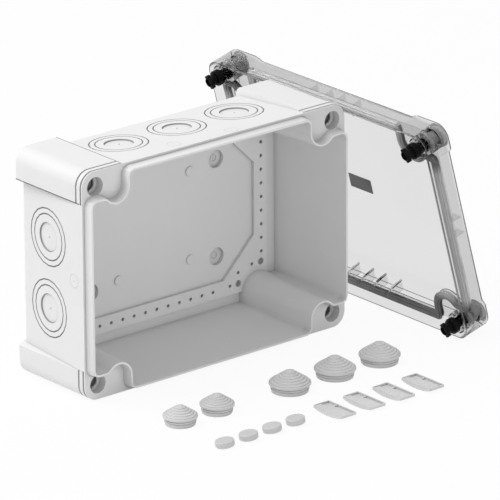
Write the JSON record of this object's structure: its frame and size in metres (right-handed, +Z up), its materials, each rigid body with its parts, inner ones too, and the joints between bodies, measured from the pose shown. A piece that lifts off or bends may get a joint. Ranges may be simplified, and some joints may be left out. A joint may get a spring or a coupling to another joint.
{
  "type": "junction box with clear screw lid",
  "caption": "Surface junction box: open drafted housing with knock-outs, corner screw columns and sealing lip, a clear lid leaning beside it, and loose cable seals, plugs and caps",
  "frame": {"origin": "centre of the four wall fixing holes on the rear face plane, box standing on its long side", "axes": "X along the box width, Y through its depth towards the wall (the opening looks to -Y), Z up"},
  "size_m": [0.362, 0.3549, 0.201],
  "materials": {
    "housing_plastic": "fine moulded grain, light grey",
    "clear_plastic": "smooth transparent plastic with a smoky tint",
    "seal_rubber": "soft dark grey foam seal",
    "screw_plastic": "black glossy",
    "grey_rubber": "soft satin light grey",
    "cap_plastic": "satin light grey"
  },
  "bodies": {
    "base": {"housing": "housing_plastic", "plug_seal_small_1": "grey_rubber", "plug_seal_small_2": "grey_rubber", "plug_seal_large_1": "grey_rubber", "plug_seal_large_2": "grey_rubber", "plug_seal_large_3": "grey_rubber", "hole_plug_1": "cap_plastic", "hole_plug_2": "cap_plastic", "hole_plug_3": "cap_plastic", "hole_plug_4": "cap_plastic", "cover_cap_1": "cap_plastic", "cover_cap_2": "cap_plastic", "cover_cap_3": "cap_plastic", "cover_cap_4": "cap_plastic"},
    "cover": {"lid": "clear_plastic", "lid_seal": "seal_rubber"},
    "screw_1": {"lid_screw_1": "screw_plastic"},
    "screw_2": {"lid_screw_2": "screw_plastic"},
    "screw_3": {"lid_screw_3": "screw_plastic"},
    "screw_4": {"lid_screw_4": "screw_plastic"}
  },
  "joints": [
    {"name": "lid_lift", "type": "slide", "parent": "base", "child": "cover", "axis": [0, 0, 1], "range_m": [0, 0.25]},
    {"name": "screw_turn_1", "type": "hinge", "parent": "cover", "child": "screw_1", "pos_m": [0.14512, 0.0786, 0.08053], "axis": [0.9655, 0, 0.2605], "range_deg": [0, 90]},
    {"name": "screw_turn_2", "type": "hinge", "parent": "cover", "child": "screw_2", "pos_m": [0.14512, -0.1786, 0.08053], "axis": [0.9655, 0, 0.2605], "range_deg": [0, 90]},
    {"name": "screw_turn_3", "type": "hinge", "parent": "cover", "child": "screw_3", "pos_m": [0.19044, -0.1786, -0.08747], "axis": [0.9655, 0, 0.2605], "range_deg": [0, 90]},
    {"name": "screw_turn_4", "type": "hinge", "parent": "cover", "child": "screw_4", "pos_m": [0.19044, 0.0786, -0.08747], "axis": [0.9655, 0, 0.2605], "range_deg": [0, 90]}
  ]
}
